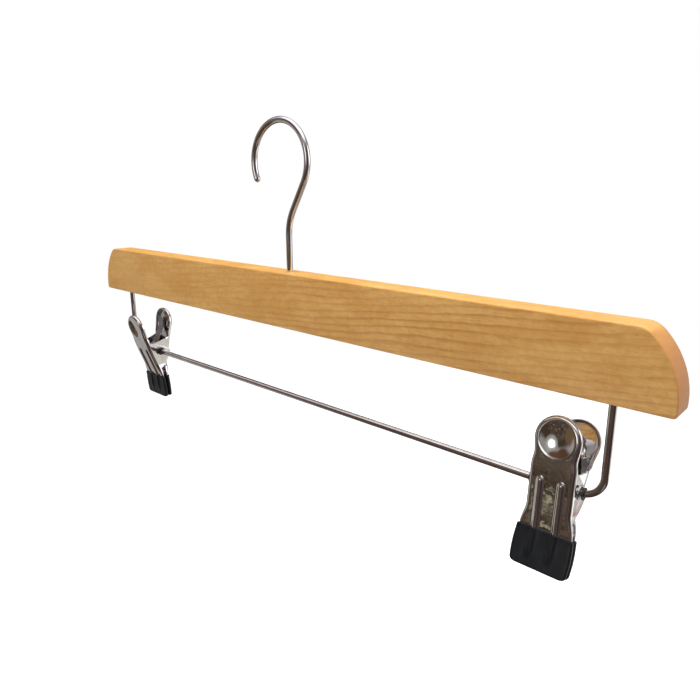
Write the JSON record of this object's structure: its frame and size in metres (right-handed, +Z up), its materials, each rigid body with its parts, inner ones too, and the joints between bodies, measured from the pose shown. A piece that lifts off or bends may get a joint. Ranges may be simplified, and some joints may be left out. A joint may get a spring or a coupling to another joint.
{
  "type": "clothes hanger",
  "caption": "Wooden trouser hanger with a swivelling wire hook, a bent wire bar under the wood, and sprung rubber-tipped clips that slide and swing on the wire.",
  "frame": {"origin": "inside of the hook, at the point where the rail carries the hanger, straight above the hook's swivel axis", "axes": "+Z up along the hook's swivel axis, +X along the wooden bar to the right seen from the front, -Y to the front"},
  "size_m": [0.38, 0.0353, 0.178],
  "materials": {
    "lacquered_wood": "satin lacquer",
    "chrome_wire": "polished",
    "chrome_sheet": "polished",
    "spring_steel": "satin",
    "black_rubber": "semi-gloss"
  },
  "bodies": {
    "hook": {"hook": "chrome_wire"},
    "bar": {"wooden_bar": "lacquered_wood", "trouser_bar": "chrome_wire", "hook_washer": "spring_steel"},
    "left_slider": {"left_grip_sleeve": "black_rubber"},
    "left_rear": {"left_rear_jaw": "chrome_sheet", "left_rear_tip": "black_rubber", "left_spring": "spring_steel"},
    "left_front": {"left_front_jaw": "chrome_sheet", "left_front_tip": "black_rubber"},
    "right_slider": {"right_grip_sleeve": "black_rubber"},
    "right_rear": {"right_rear_jaw": "chrome_sheet", "right_rear_tip": "black_rubber", "right_spring": "spring_steel"},
    "right_front": {"right_front_jaw": "chrome_sheet", "right_front_tip": "black_rubber"}
  },
  "joints": [
    {"name": "hook_swivel", "type": "hinge", "parent": "hook", "child": "bar", "pos_m": [0, 0, -0.07246], "axis": [0, 0, 1], "continuous": true},
    {"name": "left_clip_slide", "type": "slide", "parent": "bar", "child": "left_slider", "axis": [1, 0, 0], "range_m": [-0.0045, 0.1325]},
    {"name": "left_clip_swing", "type": "hinge", "parent": "left_slider", "child": "left_rear", "pos_m": [-0.1452, 0, -0.14046], "axis": [1, 0, 0], "continuous": true},
    {"name": "left_clip_open", "type": "hinge", "parent": "left_rear", "child": "left_front", "pos_m": [-0.1452, 0, -0.14046], "axis": [-1, 0, 0], "range_deg": [0, 30], "stiffness_Nm_per_rad": 0.05, "springref_deg": -22.92, "deforming": ["left_spring"]},
    {"name": "right_clip_slide", "type": "slide", "parent": "bar", "child": "right_slider", "axis": [1, 0, 0], "range_m": [-0.138, 0]},
    {"name": "right_clip_swing", "type": "hinge", "parent": "right_slider", "child": "right_rear", "pos_m": [0.1506, 0, -0.14046], "axis": [1, 0, 0], "continuous": true},
    {"name": "right_clip_open", "type": "hinge", "parent": "right_rear", "child": "right_front", "pos_m": [0.1506, 0, -0.14046], "axis": [-1, 0, 0], "range_deg": [0, 30], "stiffness_Nm_per_rad": 0.05, "springref_deg": -22.92, "deforming": ["right_spring"]}
  ]
}
